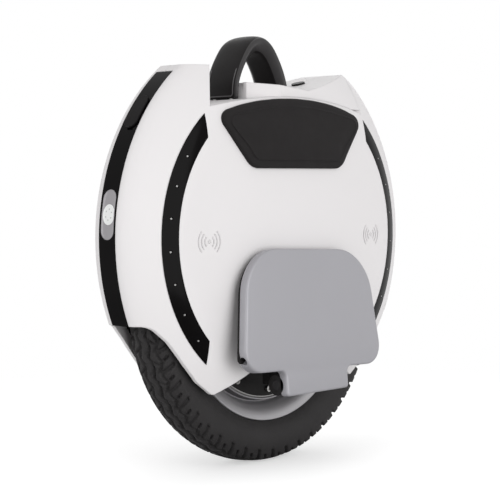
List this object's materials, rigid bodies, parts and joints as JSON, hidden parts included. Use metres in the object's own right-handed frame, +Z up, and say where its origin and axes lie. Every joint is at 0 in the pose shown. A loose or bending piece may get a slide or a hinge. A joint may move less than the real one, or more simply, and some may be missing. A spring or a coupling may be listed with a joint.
{
  "type": "electric unicycle",
  "caption": "Self-balancing electric unicycle: hub-motor wheel in a round white shell with folding pedals, side pads, lights and a carrying handle.",
  "frame": {"origin": "on the floor under the centre of the tyre", "axes": "+X to the headlight end, +Y to the rider's side seen in the picture, +Z up"},
  "size_m": [0.442, 0.174, 0.461],
  "materials": {
    "tyre_rubber": "matt black rubber",
    "tube_rubber": "matt black rubber",
    "rim_metal": "painted silver",
    "motor_black": "black coating",
    "steel": "bright steel",
    "copper": "enamelled copper",
    "valve_brass": "plain brass",
    "black_plastic": "moulded black",
    "hanger_metal": "cast",
    "battery_wrap": "heat-shrink wrap",
    "board_green": "circuit board",
    "shell_white": "gloss white",
    "gloss_black": "gloss black",
    "lens_clear": "clear lens",
    "lens_red": "red lens",
    "lamp": "light source",
    "pad_black": "matt black",
    "pedal_metal": "silver-grey paint",
    "mat_rubber": "grip mat"
  },
  "bodies": {
    "chassis": {"axle": "steel", "axle_nuts": "steel", "axle_washers": "steel", "battery_left": "battery_wrap", "battery_right": "battery_wrap", "button_switch": "black_plastic", "charge_socket": "black_plastic", "control_board": "board_green", "front_light_bar": "gloss_black", "handle": "pad_black", "handle_screws": "steel", "hanger_screws": "steel", "headlight_lamp": "lamp", "headlight_lens": "lens_clear", "heat_sink": "hanger_metal", "pedal_hanger_left": "hanger_metal", "pedal_hanger_right": "hanger_metal", "pedal_pin_left": "steel", "pedal_pin_right": "steel", "rear_light_bar": "gloss_black", "shell_left": "shell_white", "shell_right": "shell_white", "shell_screws": "steel", "side_leds_front_left": "lamp", "side_leds_front_right": "lamp", "side_leds_rear_left": "lamp", "side_leds_rear_right": "lamp", "side_light_front_left": "gloss_black", "side_light_front_right": "gloss_black", "side_light_rear_left": "gloss_black", "side_light_rear_right": "gloss_black", "side_pad_left": "pad_black", "side_pad_right": "pad_black", "speaker": "black_plastic", "stator_core": "steel", "stator_windings": "copper", "tail_lamp": "lamp", "tail_light_lens": "lens_red", "top_cover": "shell_white", "wheel_arch": "black_plastic"},
    "wheel": {"tyre": "tyre_rubber", "inner_tube": "tube_rubber", "rim": "rim_metal", "valve_stem": "valve_brass", "valve_cap": "black_plastic", "rotor_magnets": "steel", "motor_cover_right": "motor_black", "motor_cover_left": "motor_black", "motor_cover_screws": "steel", "bearing_right": "steel", "bearing_left": "steel"},
    "pedal_right": {"pedal_right": "pedal_metal", "pedal_mat_right": "mat_rubber", "pedal_magnet_right": "steel"},
    "pedal_left": {"pedal_left": "pedal_metal", "pedal_mat_left": "mat_rubber", "pedal_magnet_left": "steel"},
    "power_button": {"power_button": "black_plastic"},
    "charge_cap": {"charge_cap": "tube_rubber"}
  },
  "joints": [
    {"name": "wheel_spin", "type": "hinge", "parent": "chassis", "child": "wheel", "pos_m": [0, 0, 0.178], "axis": [0, 1, 0], "continuous": true},
    {"name": "pedal_right_fold", "type": "hinge", "parent": "chassis", "child": "pedal_right", "pos_m": [0, 0.07, 0.092], "axis": [-1, 0, 0], "range_deg": [0, 85]},
    {"name": "pedal_left_fold", "type": "hinge", "parent": "chassis", "child": "pedal_left", "pos_m": [0, -0.07, 0.092], "axis": [1, 0, 0], "range_deg": [0, 85]},
    {"name": "power_button_press", "type": "slide", "parent": "chassis", "child": "power_button", "axis": [-0.29, 0, -0.957], "range_m": [0, 0.0015], "stiffness_N_per_m": 400},
    {"name": "charge_cap_hinge", "type": "hinge", "parent": "chassis", "child": "charge_cap", "pos_m": [0.19193, 0, 0.35935], "axis": [0, 1, 0], "range_deg": [0, 120]}
  ]
}
